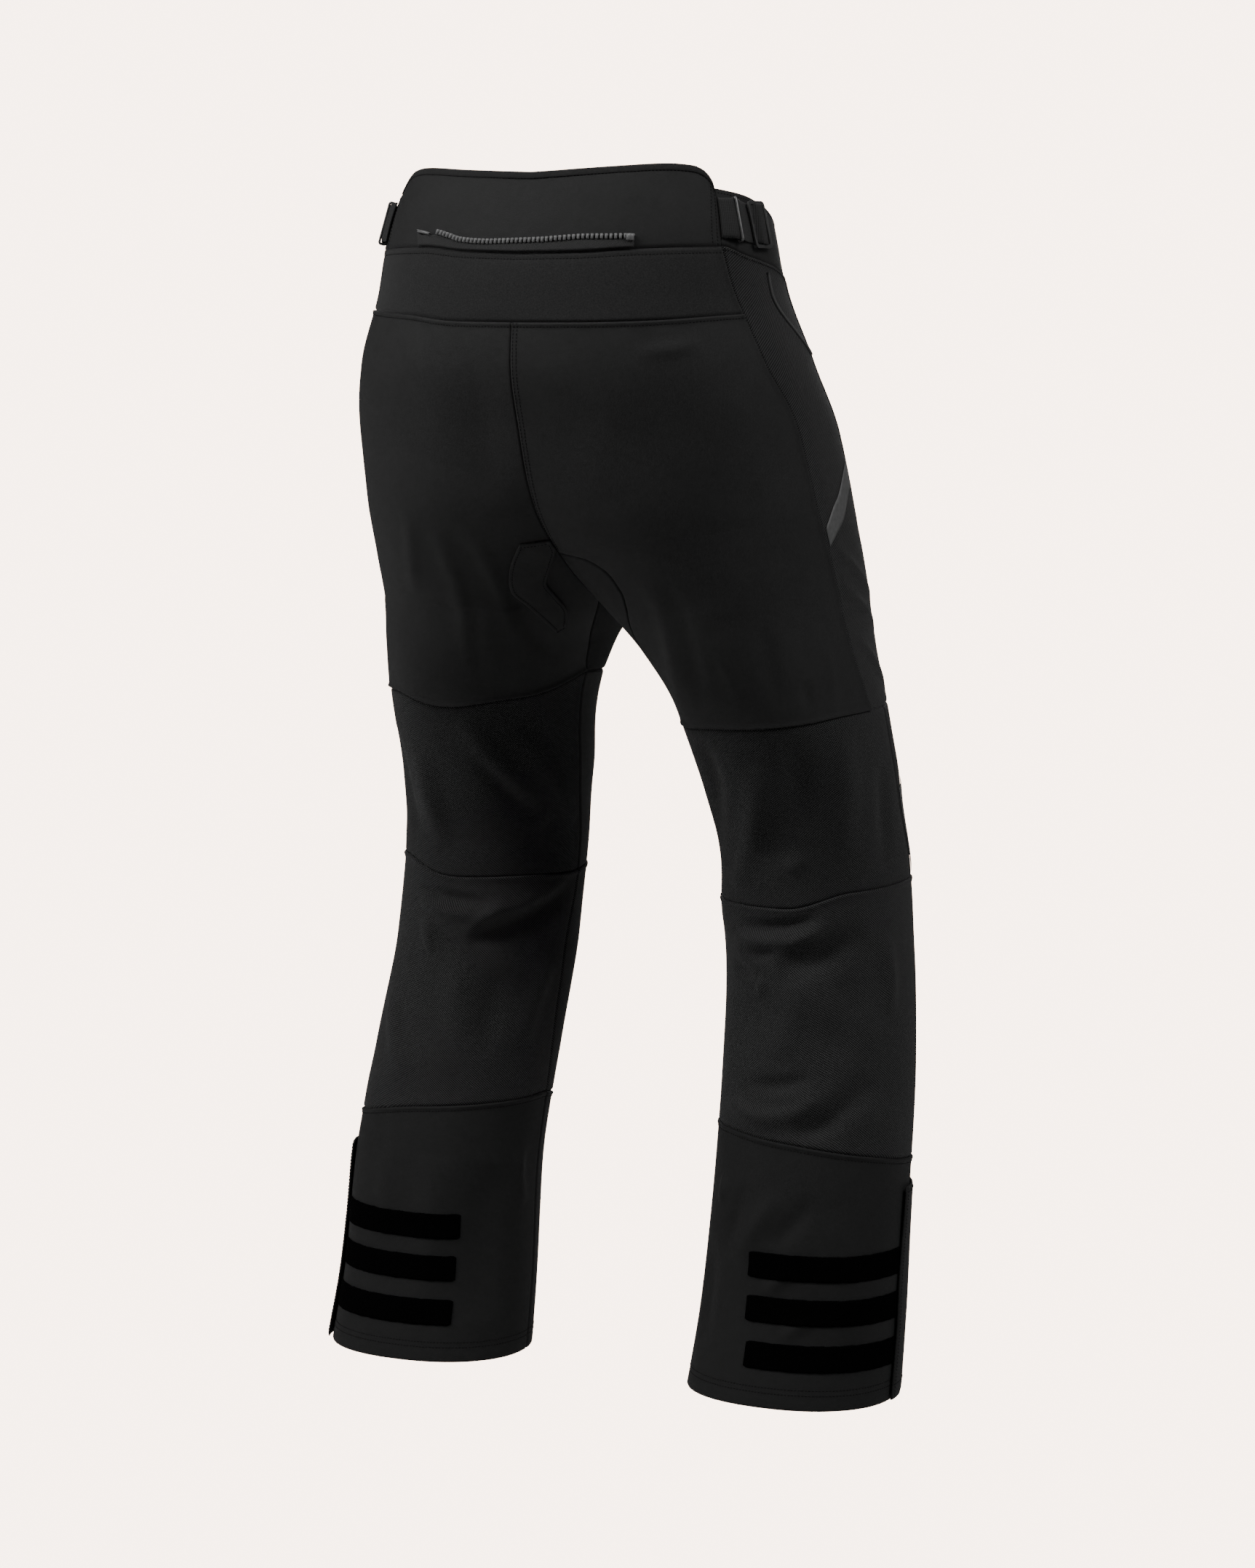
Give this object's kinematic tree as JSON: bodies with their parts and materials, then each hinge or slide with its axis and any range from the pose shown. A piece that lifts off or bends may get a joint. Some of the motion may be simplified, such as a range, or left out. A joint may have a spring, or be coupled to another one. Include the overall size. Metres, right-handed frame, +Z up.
{
  "type": "motorcycle trousers",
  "caption": "Motorcycle trousers of shell cloth and knitted mesh in worn shape, with a raised back waistband, jacket zip, side adjusters and flap cuffs closed by loop strips.",
  "frame": {"origin": "middle of the waist opening, level with the waistband's lower seam, where the wearer's waist holds the trousers up", "axes": "+Z up, the front faces -Y, the wearer's left is +X"},
  "size_m": [0.5495, 0.356, 1.0511],
  "materials": {
    "shell": "matt black shell cloth with a fine smooth face",
    "stretch": "matt black stretch cloth",
    "mesh": "black knitted mesh with fine ribs and pores",
    "loop": "black brushed loop pile",
    "reflective": "dark grey reflective print on cloth",
    "binding": "black folded binding",
    "patch": "dark grey coated cloth",
    "zip_tape": "black woven zip tape",
    "zip_chain": "dark grey moulded zip teeth",
    "webbing": "black ribbed webbing",
    "plastic": "satin black plastic",
    "metal": "dark coated steel wire"
  },
  "bodies": {
    "root": {"back_knee_left": "mesh", "back_knee_right": "mesh", "calf_left": "mesh", "calf_right": "mesh", "cuff_back_left": "shell", "cuff_back_right": "shell", "cuff_flap_left": "shell", "cuff_flap_right": "shell", "cuff_front_left": "shell", "cuff_front_right": "shell", "fly_facing": "shell", "front_knee_left": "shell", "front_knee_right": "shell", "front_thigh_left": "shell", "front_thigh_right": "shell", "hip_stripe_left": "reflective", "hip_stripe_right": "reflective", "inner_thigh_left": "stretch", "inner_thigh_right": "stretch", "knee_stripe_left": "reflective", "knee_stripe_right": "reflective", "loop_strip_left_1": "loop", "loop_strip_left_2": "loop", "loop_strip_left_3": "loop", "loop_strip_right_1": "loop", "loop_strip_right_2": "loop", "loop_strip_right_3": "loop", "pocket_piping_left": "binding", "pocket_piping_right": "binding", "seat_left": "shell", "seat_patch": "patch", "seat_right": "shell", "shin_left": "mesh", "shin_right": "mesh", "side_left": "mesh", "side_right": "mesh", "three_bar_slide_left": "plastic", "three_bar_slide_right": "plastic", "waist_binding": "binding", "waist_button": "plastic", "waistband_back": "shell", "waistband_front_left": "shell", "waistband_front_right": "shell", "webbing_left": "webbing", "webbing_right": "webbing", "wire_ring_left": "metal", "wire_ring_right": "metal", "yoke_back": "stretch", "zip_chain": "zip_chain", "zip_tape": "zip_tape"}
  },
  "joints": []
}
